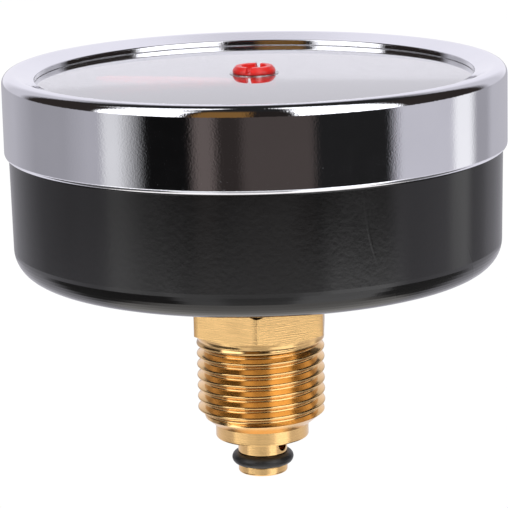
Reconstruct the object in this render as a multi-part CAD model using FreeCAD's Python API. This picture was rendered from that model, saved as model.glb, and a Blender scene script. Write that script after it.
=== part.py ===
"""Dial pressure gauge, 80 mm class, with its automatic shut-off valve, as separate pieces.

Millimetres, +Z up. The origin is on the axis, in the shoulder under the valve's hexagon,
where the G1/2 thread seats. Twelve o'clock on the dial is +Y.
"""
import FreeCAD, Part
import math
import os

from FreeCAD import Vector

# --- Valve body: hexagon and G1/2 thread, seated at z = 0 ---
HEX_ACROSS_FLATS = 21.0
HEX_HEIGHT = 5.55
HEX_TURN = -2.5              # degrees that a corner stands off -Y
HEX_TOP_CHAMFER = 0.93
HEX_BOTTOM_CHAMFER = 0.5
THREAD_R = 20.955 / 2
THREAD_END_Z = -13.3
THREAD_CHAMFER_Z = -15.4
THREAD_CHAMFER_R = 7.9
COLLAR_R = 7.65
COLLAR_END_Z = -17.69
STEM_BORE_R = 6.5
STEM_BORE_END_Z = -3.9
CHAMBER_R = 5.6
CHAMBER_END_Z = -12.0

# --- Plunger, O-ring and spring ---
PLUNGER_R = 4.05
GUIDE_CLEARANCE = 0.08
PLUNGER_TOP_Z = -3.5
PLUNGER_HEAD_R = 5.4
PLUNGER_HEAD = 1.5
PLUNGER_END_Z = -23.88
PLUNGER_BORE_R = 1.6
O_RING_R = 4.1
O_RING_SECTION_R = 0.98
O_RING_Z = -21.5
O_RING_GROOVE_R = 3.1
O_RING_GROOVE = 2.0
CROSS_HOLE_R = 1.1
CROSS_HOLE_Z = -18.95
CROSS_HOLE_ANGLE = -34.0
SPRING_R = 4.8
SPRING_WIRE_R = 0.35
SPRING_TURNS = 5
SPRING_WIRE_SIDES = 12

# --- Socket and the seals on it ---
WASHER_R = 9.0
WASHER = 0.75
STEM_R = 6.4
STEM_END_Z = -3.45
NECK_ACROSS_FLATS = 14.0
SPIGOT_R = 7.9
FLANGE_R = 13.0
FLANGE = 2.3
BOSS_R = 9.0
BOSS_TOP_Z = 20.0
ARM_WIDTH = 7.0
ARM_BOTTOM_Z = 17.0
PASSAGE_R = 1.6
FLANGE_SCREW_CIRCLE_R = 11.2

# --- Case, bezel and window ---
CASE_R = 39.68
CASE_BACK_R = 39.44
CASE_BACK_Z = 11.0
CASE_FLOOR_Z = 13.4
CASE_CORNER_R = 4.5
CASE_INNER_R = 37.4
CASE_HOLE_R = 8.0
CASE_PAD_R = 15.0
CASE_PAD_Z = 14.2
CASE_LIP_R = 39.3
CASE_LIP_Z = 38.6
BEZEL_R = 40.4
BEZEL_WALL = 0.9
BEZEL_BOTTOM_Z = 30.5
BEZEL_TOP_Z = 43.8
BEZEL_CREST_R = 38.73
BEZEL_INNER_R = 35.15
BEZEL_INNER_Z = 42.72
WINDOW_R = 39.1
WINDOW_SEAT_Z = 39.5
WINDOW_UNDER_Z = 39.9
WINDOW_RIM_Z = 41.85
WINDOW_CROWN_Z = 42.45
WINDOW_HOLE_R = 2.2
GASKET_INNER_R = 36.9

# --- Dial and pointer ---
DIAL_R = 36.8
DIAL_Z = 32.0
DIAL_THICKNESS = 0.5
DIAL_POSTS = [(-9.5, -8.0), (9.5, -8.0)]
REST_ANGLE = 225.0           # the pointer at zero
POINTER_LENGTH = 28.0
POINTER_TAIL = 9.0
POINTER_Z = 35.2
POINTER_THICKNESS = 0.5
STOP_PIN_CIRCLE_R = 22.0
STOP_PIN_R = 0.5

# --- Setting hub and hand, turned through the window ---
SETTING_ANGLE = 163.0
SETTING_LENGTH = 27.0
SETTING_HEAD_R = 3.55
SETTING_HEAD_TOP_R = 2.9
SETTING_HEAD = 1.22
SETTING_SLOT = 0.85
SETTING_STEM_R = 2.1

# --- Movement: plates, pinion, sector and link ---
BACK_PLATE_Z = 20.0
FRONT_PLATE_Z = 28.0
PLATE = 1.0
PLATE_OUTLINE = [(-12, -21), (3, -21), (6.5, -23.5), (12, -23.5), (12, 8.5), (-12, 8.5)]
PILLARS = [(-6.5, 6.0), (6.5, 6.0), (-9.5, -18.3), (9.5, -21.0)]
PILLAR_R = 1.25
BASE_SCREWS = [(-6.0, 2.0), (6.0, 2.0)]
GEAR_MODULE = 0.25
PINION_TEETH = 16
SECTOR_TEETH = 108           # teeth that the sector's full circle would have
SECTOR_FIRST_TOOTH = -13     # teeth made either side of the centre line
SECTOR_LAST_TOOTH = 1
PRESSURE_ANGLE = math.radians(20)
BACKLASH = 0.1
ARBOR_R = 0.6
ARBOR_PLAY = 0.05
SECTOR_Z = 24.0
SECTOR_SWING = 40.0
TAIL_LENGTH = 6.0
TAIL_ANGLE = 279.1
PIN_R = 0.4
LINK_Z = 25.1
LINK_THICKNESS = 0.6
LINK_LENGTH = 24.13
LINK_ANGLE = 29.1
LINK_END_R = 1.3
TIP_HOLE_PLAY = 0.3

# --- Bourdon tube ---
TUBE_R = 26.5
TUBE_HEIGHT = 10.0
TUBE_DEPTH = 2.6
TUBE_WALL = 0.4
TUBE_Z = 17.0
TUBE_ROOT_ANGLE = 255.0
TUBE_END_ANGLE = -9.0        # drawn short of the end piece, by the end piece's travel
END_PIECE_ANGLES = (-27.0, -17.0)

# --- Worked out from the above ---
PINION_PITCH_R = GEAR_MODULE * PINION_TEETH / 2
SECTOR_PITCH_R = GEAR_MODULE * SECTOR_TEETH / 2
SECTOR_Y = -(PINION_PITCH_R + SECTOR_PITCH_R)
FLANGE_Z = CASE_PAD_Z + 0.5
HEAD_Z = LINK_Z + LINK_THICKNESS + 0.1
UP = Vector(0, 0, 1)


def at(angle, radius, z=0.0):
    """Point at a polar angle in degrees and a radius from the axis."""
    turn = math.radians(angle)
    return Vector(radius * math.cos(turn), radius * math.sin(turn), z)


def cylinder(radius, z0, z1, x=0.0, y=0.0):
    return Part.makeCylinder(radius, z1 - z0, Vector(x, y, z0))


def ring(outer, inner, z0, z1, x=0.0, y=0.0):
    return cylinder(outer, z0, z1, x, y).cut(cylinder(inner, z0 - 1, z1 + 1, x, y))


def outline_face(edges):
    """Face inside edges; an edge of two points is a line, of three an arc through the middle."""
    shapes = []
    for points in edges:
        ends = [Vector(*point) for point in points]
        curve = Part.Arc(*ends) if len(ends) == 3 else Part.LineSegment(*ends)
        shapes.append(curve.toShape())
    return Part.Face(Part.Wire(shapes))


def turned(profile):
    """Solid of revolution about Z; profile holds (r, z), with ("arc", r, z) for mid-arc points."""
    edges = []
    start = profile[0]
    middle = None
    for point in profile[1:] + [start]:
        if point[0] == "arc":
            middle = (point[1], 0, point[2])
            continue
        ends = [(start[0], 0, start[1]), (point[0], 0, point[1])]
        if middle:
            ends.insert(1, middle)
        edges.append(ends)
        start = point
        middle = None
    return outline_face(edges).revolve(Vector(), UP, 360)


def extruded(points, z0, z1):
    corners = [Vector(x, y, z0) for x, y in points]
    return Part.Face(Part.makePolygon(corners + corners[:1])).extrude(Vector(0, 0, z1 - z0))


def hexagon(across_flats, z0, z1, turn):
    radius = across_flats / math.sqrt(3)
    corners = [at(turn + 60 * i, radius) for i in range(6)]
    return extruded([(corner.x, corner.y) for corner in corners], z0, z1)


def bar(start, end, width, z0, z1):
    """Flat bar with round ends, centred on two points."""
    length = (end - start).Length
    side = width / 2
    edges = [
        [(0, -side, z0), (length, -side, z0)],
        [(length, -side, z0), (length + side, 0, z0), (length, side, z0)],
        [(length, side, z0), (0, side, z0)],
        [(0, side, z0), (-side, 0, z0), (0, -side, z0)],
    ]
    shape = outline_face(edges).extrude(Vector(0, 0, z1 - z0))
    direction = end - start
    shape.rotate(Vector(), UP, math.degrees(math.atan2(direction.y, direction.x)))
    shape.translate(Vector(start.x, start.y, 0))
    return shape


def screw(x, y, head_z, head_r, head, shank_r, shank_end_z):
    """Slotted cheese-head screw, head up, with its head's seat at head_z."""
    shape = cylinder(head_r, head_z, head_z + head, x, y)
    slot_depth = head / 2
    slot = Part.makeBox(2 * head_r + 1, 0.5, slot_depth, Vector(-head_r - 0.5, -0.25, 0))
    slot.rotate(Vector(), UP, 35)
    slot.translate(Vector(x, y, head_z + head - slot_depth))
    return shape.fuse(cylinder(shank_r, shank_end_z, head_z, x, y)).cut(slot)


# --- Valve ---

def valve_body():
    corner_r = HEX_ACROSS_FLATS / math.sqrt(3)
    flat_r = HEX_ACROSS_FLATS / 2
    blank = hexagon(HEX_ACROSS_FLATS, 0, HEX_HEIGHT, -90 + HEX_TURN)
    chamfers = turned([
        (0, 0), (corner_r - 1.6, 0), (corner_r + 0.2, HEX_BOTTOM_CHAMFER + 0.05),
        (corner_r + 0.2, HEX_HEIGHT - HEX_TOP_CHAMFER), (flat_r - 0.1, HEX_HEIGHT), (0, HEX_HEIGHT),
    ])
    shank = turned([
        (0, 1), (THREAD_R, 1), (THREAD_R, THREAD_END_Z), (THREAD_CHAMFER_R, THREAD_CHAMFER_Z),
        (COLLAR_R, THREAD_CHAMFER_Z), (COLLAR_R, COLLAR_END_Z + 0.15),
        (COLLAR_R - 0.15, COLLAR_END_Z), (0, COLLAR_END_Z),
    ])
    guide_r = PLUNGER_R + GUIDE_CLEARANCE
    bore = turned([
        (0, HEX_HEIGHT + 1), (STEM_BORE_R, HEX_HEIGHT + 1), (STEM_BORE_R, STEM_BORE_END_Z),
        (CHAMBER_R, STEM_BORE_END_Z), (CHAMBER_R, CHAMBER_END_Z), (guide_r, CHAMBER_END_Z),
        (guide_r, COLLAR_END_Z - 1), (0, COLLAR_END_Z - 1),
    ])
    return blank.common(chamfers).fuse(shank).cut(bore).removeSplitter()


def stem_washer():
    return ring(WASHER_R, STEM_R + 0.2, HEX_HEIGHT, HEX_HEIGHT + WASHER)


def valve_plunger():
    head_z = PLUNGER_TOP_Z - PLUNGER_HEAD
    groove_top = O_RING_Z + O_RING_GROOVE / 2
    groove_bottom = O_RING_Z - O_RING_GROOVE / 2
    body = turned([
        (0, PLUNGER_TOP_Z), (PLUNGER_HEAD_R, PLUNGER_TOP_Z), (PLUNGER_HEAD_R, head_z),
        (PLUNGER_R, head_z), (PLUNGER_R, groove_top), (O_RING_GROOVE_R, groove_top),
        (O_RING_GROOVE_R, groove_bottom), (PLUNGER_R, groove_bottom),
        (PLUNGER_R, PLUNGER_END_Z + 0.2), (PLUNGER_R - 0.2, PLUNGER_END_Z), (0, PLUNGER_END_Z),
    ])
    bore = cylinder(PLUNGER_BORE_R, CROSS_HOLE_Z, PLUNGER_TOP_Z + 1)
    start = at(CROSS_HOLE_ANGLE, -PLUNGER_R - 1, CROSS_HOLE_Z)
    cross_hole = Part.makeCylinder(CROSS_HOLE_R, 2 * PLUNGER_R + 2, start, at(CROSS_HOLE_ANGLE, 1))
    return body.cut(bore).cut(cross_hole)


def plunger_o_ring():
    return Part.makeTorus(O_RING_R, O_RING_SECTION_R, Vector(0, 0, O_RING_Z))


def return_spring():
    """Open coil of twelve-sided wire, between the chamber's floor and the plunger's head."""
    bottom = CHAMBER_END_Z + SPRING_WIRE_R
    top = PLUNGER_TOP_Z - PLUNGER_HEAD - SPRING_WIRE_R
    helix = Part.makeLongHelix((top - bottom) / SPRING_TURNS, top - bottom, SPRING_R)
    corners = [
        Vector(SPRING_R + SPRING_WIRE_R * math.cos(angle), 0, SPRING_WIRE_R * math.sin(angle))
        for angle in (2 * math.pi * i / SPRING_WIRE_SIDES for i in range(SPRING_WIRE_SIDES))
    ]
    section = Part.makePolygon(corners + corners[:1])
    spring = Part.Wire(helix.Edges).makePipeShell([section], True, True)
    spring.translate(Vector(0, 0, bottom))
    return spring


# --- Socket and case ---

def tube_ring(extra, start_angle, end_angle):
    """Arc of the tube's flattened section, grown by extra all round."""
    side = TUBE_DEPTH / 2 + extra
    bottom = TUBE_Z - extra
    top = TUBE_Z + TUBE_HEIGHT + extra
    edges = [
        [(TUBE_R + side, 0, bottom + side), (TUBE_R + side, 0, top - side)],
        [(TUBE_R + side, 0, top - side), (TUBE_R, 0, top), (TUBE_R - side, 0, top - side)],
        [(TUBE_R - side, 0, top - side), (TUBE_R - side, 0, bottom + side)],
        [(TUBE_R - side, 0, bottom + side), (TUBE_R, 0, bottom), (TUBE_R + side, 0, bottom + side)],
    ]
    shape = outline_face(edges).revolve(Vector(), UP, end_angle - start_angle)
    shape.rotate(Vector(), UP, start_angle)
    return shape


def flange_screw_places():
    return [at(75 + 120 * i, FLANGE_SCREW_CIRCLE_R) for i in range(3)]


def socket():
    stem = cylinder(STEM_R, STEM_END_Z, FLANGE_Z)
    neck = hexagon(NECK_ACROSS_FLATS, HEX_HEIGHT + WASHER, CASE_BACK_Z - 0.1, 0)
    spigot = cylinder(SPIGOT_R, CASE_BACK_Z - 0.1, FLANGE_Z)
    flange = cylinder(FLANGE_R, FLANGE_Z, FLANGE_Z + FLANGE)
    boss = cylinder(BOSS_R, FLANGE_Z, BOSS_TOP_Z)
    block_x = TUBE_R - 3.2
    arm = Part.makeBox(block_x + 1, ARM_WIDTH, BOSS_TOP_Z - 0.1 - ARM_BOTTOM_Z,
                       Vector(0, -ARM_WIDTH / 2, ARM_BOTTOM_Z))
    block = Part.makeBox(6.2, ARM_WIDTH, TUBE_Z + TUBE_HEIGHT + 1.3 - ARM_BOTTOM_Z,
                         Vector(block_x, -ARM_WIDTH / 2, ARM_BOTTOM_Z - 0.6))
    holder = arm.fuse(block)
    holder.rotate(Vector(), UP, TUBE_ROOT_ANGLE)
    shape = stem.fuse([neck, spigot, flange, boss, holder])
    tube = tube_ring(0, TUBE_ROOT_ANGLE - 20, TUBE_ROOT_ANGLE)
    passage_z = ARM_BOTTOM_Z + 1.4
    passage = cylinder(PASSAGE_R, STEM_END_Z - 1, passage_z)
    cross = Part.makeCylinder(0.8, TUBE_R, Vector(0, 0, passage_z), at(TUBE_ROOT_ANGLE, 1))
    shape = shape.cut(tube).cut(passage).cut(cross)
    for place in flange_screw_places():
        shape = shape.cut(cylinder(1.6, CASE_BACK_Z, FLANGE_Z + FLANGE + 0.5, place.x, place.y))
        head_room = cylinder(2.9, FLANGE_Z + FLANGE, FLANGE_Z + FLANGE + 2, place.x, place.y)
        shape = shape.cut(head_room)
    for x, y in BASE_SCREWS:
        shape = shape.cut(cylinder(1.0, BOSS_TOP_Z - 4, BOSS_TOP_Z + 1, x, y))
    return shape.removeSplitter()


def case_gasket():
    shape = ring(FLANGE_R, SPIGOT_R + 0.1, CASE_PAD_Z, FLANGE_Z)
    for place in flange_screw_places():
        shape = shape.cut(cylinder(1.6, CASE_PAD_Z - 1, FLANGE_Z + 1, place.x, place.y))
    return shape


def flange_screws():
    seat = FLANGE_Z + FLANGE
    places = flange_screw_places()
    return Part.makeCompound([screw(p.x, p.y, seat, 2.7, 1.5, 1.5, CASE_BACK_Z + 0.8) for p in places])


def case():
    bend = CASE_CORNER_R * (1 - math.sqrt(0.5))
    inner_corner_r = CASE_CORNER_R - 2.2
    inner_bend = inner_corner_r * (1 - math.sqrt(0.5))
    shape = turned([
        (CASE_HOLE_R, CASE_BACK_Z), (CASE_BACK_R - CASE_CORNER_R, CASE_BACK_Z),
        ("arc", CASE_BACK_R - bend, CASE_BACK_Z + bend), (CASE_BACK_R, CASE_BACK_Z + CASE_CORNER_R),
        (CASE_R, BEZEL_BOTTOM_Z), (CASE_LIP_R, BEZEL_BOTTOM_Z), (CASE_LIP_R, CASE_LIP_Z),
        (CASE_INNER_R, CASE_LIP_Z), (CASE_INNER_R, CASE_FLOOR_Z + inner_corner_r),
        ("arc", CASE_INNER_R - inner_bend, CASE_FLOOR_Z + inner_bend),
        (CASE_INNER_R - inner_corner_r, CASE_FLOOR_Z), (CASE_PAD_R, CASE_FLOOR_Z),
        (CASE_PAD_R, CASE_PAD_Z), (CASE_HOLE_R, CASE_PAD_Z),
    ])
    for place in flange_screw_places():
        shape = shape.cut(cylinder(1.5, CASE_BACK_Z + 0.8, CASE_PAD_Z + 1, place.x, place.y))
    return shape


def bezel():
    """Drawn sheet ring: straight skirt, rounded crest, and a top that slopes in to the window."""
    top_r = BEZEL_R - BEZEL_CREST_R
    bend = top_r * (1 - math.sqrt(0.5))
    foot = 0.75
    foot_bend = foot * (1 - math.sqrt(0.5))
    skirt_r = BEZEL_R - BEZEL_WALL
    under_z = BEZEL_TOP_Z - BEZEL_WALL
    lip_r = BEZEL_INNER_R + BEZEL_WALL
    return turned([
        (CASE_LIP_R, BEZEL_BOTTOM_Z), (BEZEL_R - foot, BEZEL_BOTTOM_Z),
        ("arc", BEZEL_R - foot_bend, BEZEL_BOTTOM_Z + foot_bend), (BEZEL_R, BEZEL_BOTTOM_Z + foot),
        (BEZEL_R, BEZEL_TOP_Z - top_r), ("arc", BEZEL_R - bend, BEZEL_TOP_Z - bend),
        (BEZEL_CREST_R, BEZEL_TOP_Z), (BEZEL_INNER_R + 0.3, BEZEL_INNER_Z + 0.09),
        (BEZEL_INNER_R, BEZEL_INNER_Z - 0.2), (BEZEL_INNER_R, WINDOW_RIM_Z), (lip_r, WINDOW_RIM_Z),
        (lip_r, BEZEL_INNER_Z - BEZEL_WALL + 0.3), (BEZEL_CREST_R, under_z),
        (skirt_r, under_z - BEZEL_WALL), (skirt_r, CASE_LIP_Z), (CASE_LIP_R, CASE_LIP_Z),
    ])


def window():
    """Clear disc with a slightly domed top and a hole for the setting hub."""
    sag = WINDOW_CROWN_Z - WINDOW_RIM_Z
    hole_drop = sag * (WINDOW_HOLE_R / BEZEL_INNER_R) ** 2
    mid_r = BEZEL_INNER_R / 2
    return turned([
        (WINDOW_HOLE_R, WINDOW_UNDER_Z), (GASKET_INNER_R - 0.6, WINDOW_UNDER_Z),
        (GASKET_INNER_R - 0.2, WINDOW_SEAT_Z), (WINDOW_R, WINDOW_SEAT_Z), (WINDOW_R, WINDOW_RIM_Z),
        (BEZEL_INNER_R, WINDOW_RIM_Z), ("arc", mid_r, WINDOW_CROWN_Z - sag / 4),
        (WINDOW_HOLE_R, WINDOW_CROWN_Z - hole_drop),
    ])


def window_gasket():
    return ring(WINDOW_R, GASKET_INNER_R, CASE_LIP_Z, WINDOW_SEAT_Z)


# --- Dial, pointer and setting hand ---

def dial():
    top = DIAL_Z + DIAL_THICKNESS
    shape = ring(DIAL_R, 1.5, DIAL_Z, top)
    for x, y in DIAL_POSTS:
        shape = shape.cut(cylinder(1.1, DIAL_Z - 1, top + 1, x, y))
    place = stop_pin_place()
    return shape.cut(cylinder(STOP_PIN_R, DIAL_Z - 1, top + 1, place.x, place.y))


def dial_posts():
    posts = []
    for x, y in DIAL_POSTS:
        post = cylinder(2.0, FRONT_PLATE_Z + PLATE, DIAL_Z, x, y)
        post = post.fuse(cylinder(1.0, FRONT_PLATE_Z, FRONT_PLATE_Z + PLATE, x, y))
        posts.append(post.cut(cylinder(1.0, DIAL_Z - 2, DIAL_Z + 1, x, y)))
    return Part.makeCompound(posts)


def dial_screws():
    seat = DIAL_Z + DIAL_THICKNESS
    return Part.makeCompound([screw(x, y, seat, 1.9, 0.9, 1.0, DIAL_Z - 2) for x, y in DIAL_POSTS])


def stop_pin_place():
    blade_half_width = 0.62
    offset = math.degrees((STOP_PIN_R + blade_half_width + 0.05) / STOP_PIN_CIRCLE_R)
    return at(REST_ANGLE + offset, STOP_PIN_CIRCLE_R)


def stop_pin():
    place = stop_pin_place()
    return cylinder(STOP_PIN_R, DIAL_Z, POINTER_Z + POINTER_THICKNESS + 0.3, place.x, place.y)


def pointer():
    top = POINTER_Z + POINTER_THICKNESS
    blade = extruded([(-POINTER_TAIL, -1.5), (-3, -0.9), (0, -1.3), (POINTER_LENGTH - 1, -0.3),
                      (POINTER_LENGTH, 0), (POINTER_LENGTH - 1, 0.3), (0, 1.3), (-3, 0.9),
                      (-POINTER_TAIL, 1.5)], POINTER_Z, top)
    shape = blade.fuse(cylinder(2.4, POINTER_Z, top)).cut(cylinder(1.0, POINTER_Z - 1, top + 1))
    shape.rotate(Vector(), UP, REST_ANGLE)
    return shape.removeSplitter()


def pointer_hub():
    top = POINTER_Z + POINTER_THICKNESS
    return turned([
        (ARBOR_R, POINTER_Z - 0.6), (2.3, POINTER_Z - 0.6), (2.3, POINTER_Z), (1.0, POINTER_Z),
        (1.0, top), (1.9, top), (1.9, top + 0.6), (1.6, top + 0.9), (0, top + 0.9),
        (0, top + 0.3), (ARBOR_R, top + 0.3),
    ])


def setting_hub():
    seat = WINDOW_CROWN_Z + 0.02
    top = seat + SETTING_HEAD
    shoulder = WINDOW_UNDER_Z - 0.05
    bulge_r = (SETTING_HEAD_R + SETTING_HEAD_TOP_R) / 2 + 0.12
    shape = turned([
        (0, shoulder - 1.25), (1.6, shoulder - 1.25), (1.6, shoulder), (SETTING_STEM_R, shoulder),
        (SETTING_STEM_R, seat), (SETTING_HEAD_R, seat),
        ("arc", bulge_r, seat + SETTING_HEAD / 2), (SETTING_HEAD_TOP_R, top),
        (2.0, top), (2.0, top - 0.8), (0, top - 0.8),
    ])
    slot_length = 2 * SETTING_HEAD_R + 1
    slot = Part.makeBox(slot_length, SETTING_SLOT, SETTING_HEAD,
                        Vector(-slot_length / 2, -SETTING_SLOT / 2, top - 0.95))
    slot.rotate(Vector(), UP, SETTING_ANGLE + 90)
    return shape.cut(slot)


def setting_hand():
    top = WINDOW_UNDER_Z - 0.05
    bottom = top - 1.05
    blade_top = bottom + 0.5
    blade = extruded([(0, -1.6), (SETTING_LENGTH - 2.5, -0.8), (SETTING_LENGTH, 0),
                      (SETTING_LENGTH - 2.5, 0.8), (0, 1.6)], bottom, blade_top)
    shape = blade.fuse(cylinder(3.4, bottom, top)).cut(cylinder(1.6, bottom - 1, top + 1))
    shape.rotate(Vector(), UP, SETTING_ANGLE)
    return shape.removeSplitter()


# --- Movement ---

def plate(z, extra_holes):
    """Movement plate with bearing holes for both arbors and the holes listed."""
    shape = extruded(PLATE_OUTLINE, z, z + PLATE)
    corners = [edge for edge in shape.Edges if abs(edge.tangentAt(edge.FirstParameter).z) > 0.9]
    shape = shape.makeFillet(1.5, corners)
    holes = [(0, 0, ARBOR_R + ARBOR_PLAY), (0, SECTOR_Y, 1.0 + ARBOR_PLAY)]
    for x, y, radius in holes + extra_holes:
        shape = shape.cut(cylinder(radius, z - 1, z + PLATE + 1, x, y))
    return shape


def movement_back_plate():
    return plate(BACK_PLATE_Z, [(x, y, 1.0) for x, y in BASE_SCREWS])


def movement_front_plate():
    holes = [(x, y, 0.8) for x, y in PILLARS] + [(x, y, 1.0) for x, y in DIAL_POSTS]
    post_x, post_y = hairspring_end()
    return plate(FRONT_PLATE_Z, holes + [(post_x, post_y, 0.6)])


def movement_pillars():
    pillars = []
    for x, y in PILLARS:
        pillar = cylinder(PILLAR_R, BACK_PLATE_Z + PLATE, FRONT_PLATE_Z, x, y)
        pillars.append(pillar.cut(cylinder(0.8, FRONT_PLATE_Z - 2.5, FRONT_PLATE_Z + 1, x, y)))
    return Part.makeCompound(pillars)


def movement_base_screws():
    seat = BACK_PLATE_Z + PLATE
    return Part.makeCompound([screw(x, y, seat, 1.8, 0.9, 1.0, BOSS_TOP_Z - 4) for x, y in BASE_SCREWS])


def front_plate_screws():
    seat = FRONT_PLATE_Z + PLATE
    return Part.makeCompound([screw(x, y, seat, 1.5, 0.8, 0.8, FRONT_PLATE_Z - 2.5) for x, y in PILLARS])


def tooth_half_angle(radius, pitch_r):
    """Half the angle of an involute tooth, thinned by the backlash, at a radius."""
    def involute(cosine):
        angle = math.acos(min(1.0, cosine))
        return math.tan(angle) - angle
    base_r = pitch_r * math.cos(PRESSURE_ANGLE)
    thickness = math.pi * GEAR_MODULE / 2 - BACKLASH
    return (thickness / (2 * pitch_r) + involute(math.cos(PRESSURE_ANGLE))
            - involute(base_r / max(radius, base_r)))


def gear_points(pitch_r, centre_angles):
    """Outline of teeth centred on the given angles in degrees, in order."""
    root_r = pitch_r - 1.25 * GEAR_MODULE
    tip_r = pitch_r + 0.9 * GEAR_MODULE
    flank = [root_r, pitch_r - 0.4 * GEAR_MODULE, pitch_r, pitch_r + 0.5 * GEAR_MODULE, tip_r]
    points = []
    for angle in centre_angles:
        rising = [at(angle - math.degrees(tooth_half_angle(r, pitch_r)), r) for r in flank]
        falling = [at(angle + math.degrees(tooth_half_angle(r, pitch_r)), r) for r in reversed(flank)]
        points += [(point.x, point.y) for point in rising + falling]
    return points


def pinion():
    step = 360 / PINION_TEETH
    angles = [-90 + step * (i + 0.5) for i in range(PINION_TEETH)]
    teeth = extruded(gear_points(PINION_PITCH_R, angles), SECTOR_Z - 1.5, SECTOR_Z + 2.5)
    arbor = cylinder(ARBOR_R, BACK_PLATE_Z + 0.2, POINTER_Z + POINTER_THICKNESS + 0.3)
    shoulder = cylinder(1.0, BACK_PLATE_Z + PLATE + 0.1, SECTOR_Z - 1.5)
    return teeth.fuse([arbor, shoulder])


def tail_place():
    return at(TAIL_ANGLE, TAIL_LENGTH) + Vector(0, SECTOR_Y, 0)


def sector_gear():
    step = 360 / SECTOR_TEETH
    numbers = range(SECTOR_FIRST_TOOTH, SECTOR_LAST_TOOTH + 1)
    teeth = gear_points(SECTOR_PITCH_R, [90 + step * i for i in numbers])
    fan = extruded([(0, 0)] + teeth, SECTOR_Z, SECTOR_Z + 1)
    middle = 90 + step * (SECTOR_FIRST_TOOTH + SECTOR_LAST_TOOTH) / 2
    for side in (-11, 11):
        fan = fan.cut(bar(at(middle + side, 7.2), at(middle + side, 10.4), 2.4, SECTOR_Z - 1, SECTOR_Z + 2))
    tail = bar(Vector(), at(TAIL_ANGLE, TAIL_LENGTH), 2.4, SECTOR_Z, SECTOR_Z + 1)
    shape = fan.fuse([cylinder(3.0, SECTOR_Z, SECTOR_Z + 1), tail])
    shape = shape.cut(cylinder(1.0, SECTOR_Z - 1, SECTOR_Z + 2))
    pin = at(TAIL_ANGLE, TAIL_LENGTH)
    shape = shape.cut(cylinder(PIN_R, SECTOR_Z - 1, SECTOR_Z + 2, pin.x, pin.y))
    shape.translate(Vector(0, SECTOR_Y, 0))
    return shape.removeSplitter()


def sector_arbor():
    shape = cylinder(1.0, BACK_PLATE_Z + 0.3, FRONT_PLATE_Z + PLATE - 0.2)
    lower = cylinder(1.7, BACK_PLATE_Z + PLATE + 0.1, SECTOR_Z)
    upper = cylinder(1.7, SECTOR_Z + 1, FRONT_PLATE_Z - 0.1)
    shape = shape.fuse([lower, upper])
    shape.translate(Vector(0, SECTOR_Y, 0))
    return shape.removeSplitter()


def headed_pin(place, z0):
    """Small pin that stands up from z0 through the link, with a head above it."""
    shape = cylinder(PIN_R, z0, HEAD_Z, place.x, place.y)
    return shape.fuse(cylinder(1.0, HEAD_Z, HEAD_Z + 0.4, place.x, place.y))


def tail_pin():
    return headed_pin(tail_place(), SECTOR_Z)


def link_hole_place():
    return tail_place() + at(LINK_ANGLE, LINK_LENGTH)


def link():
    start = tail_place()
    end = link_hole_place()
    top = LINK_Z + LINK_THICKNESS
    shape = bar(start, end, 1.8, LINK_Z, top)
    eyes = [(start, 1.2, PIN_R + ARBOR_PLAY), (end, LINK_END_R, PIN_R + TIP_HOLE_PLAY)]
    for place, radius, hole_r in eyes:
        shape = shape.fuse(cylinder(radius, LINK_Z, top, place.x, place.y))
        shape = shape.cut(cylinder(hole_r, LINK_Z - 1, top + 1, place.x, place.y))
    return shape.removeSplitter()


def tip_pin_place():
    """Centred on the straight line that runs midway through the tail pin's arc."""
    arc_rise = TAIL_LENGTH * (1 - math.cos(math.radians(SECTOR_SWING / 2)))
    return link_hole_place() + at(TAIL_ANGLE + SECTOR_SWING / 2, arc_rise / 2)


def tip_pin():
    return headed_pin(tip_pin_place(), SECTOR_Z - 0.1)


def hairspring_outline():
    """Spiral strip drawn as half turns about two centres; returns its edges and outer end."""
    strip = 0.12
    growth = 0.4
    half_turns = 10
    radius = 1.36
    z = 26.8
    outer = []
    inner = []
    centre = 0.0
    side = 1
    for _ in range(half_turns):
        for edges, offset in ((outer, strip / 2), (inner, -strip / 2)):
            reach = side * (radius + offset)
            edges.append([(centre + reach, 0, z), (centre, side * (radius + offset), z),
                          (centre - reach, 0, z)])
        centre += side * growth
        side = -side
        radius += growth
    end_x = centre + side * radius
    caps = [[outer[-1][2], inner[-1][2]], [inner[0][0], outer[0][0]]]
    back = [list(reversed(points)) for points in reversed(inner)]
    return outer + caps[:1] + back + caps[1:], end_x


def hairspring_end():
    return hairspring_outline()[1], 0.0


def hairspring():
    edges, _ = hairspring_outline()
    return outline_face(edges).extrude(Vector(0, 0, 0.8))


def hairspring_post():
    x, y = hairspring_end()
    return cylinder(0.6, 26.6, FRONT_PLATE_Z + PLATE, x, y).cut(hairspring())


def hairspring_collet():
    return ring(1.2, ARBOR_R, SECTOR_Z + 2.6, FRONT_PLATE_Z - 0.2)


# --- Bourdon tube ---

def bourdon_tube():
    start = TUBE_END_ANGLE
    return tube_ring(0, start, TUBE_ROOT_ANGLE).cut(tube_ring(-TUBE_WALL, start - 1, TUBE_ROOT_ANGLE + 1))


def tube_end_piece():
    start, end = END_PIECE_ANGLES
    body = tube_ring(0.4, start, end)
    pin = tip_pin_place()
    shape = body.fuse(bar(at(start + 3, TUBE_R), pin, 2.4, SECTOR_Z - 0.1, SECTOR_Z + 1))
    shape = shape.cut(cylinder(LINK_END_R + 0.8, SECTOR_Z + 1, HEAD_Z + 0.6, pin.x, pin.y))
    return shape.cut(cylinder(PIN_R, SECTOR_Z - 1, SECTOR_Z + 2, pin.x, pin.y)).removeSplitter()


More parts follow.
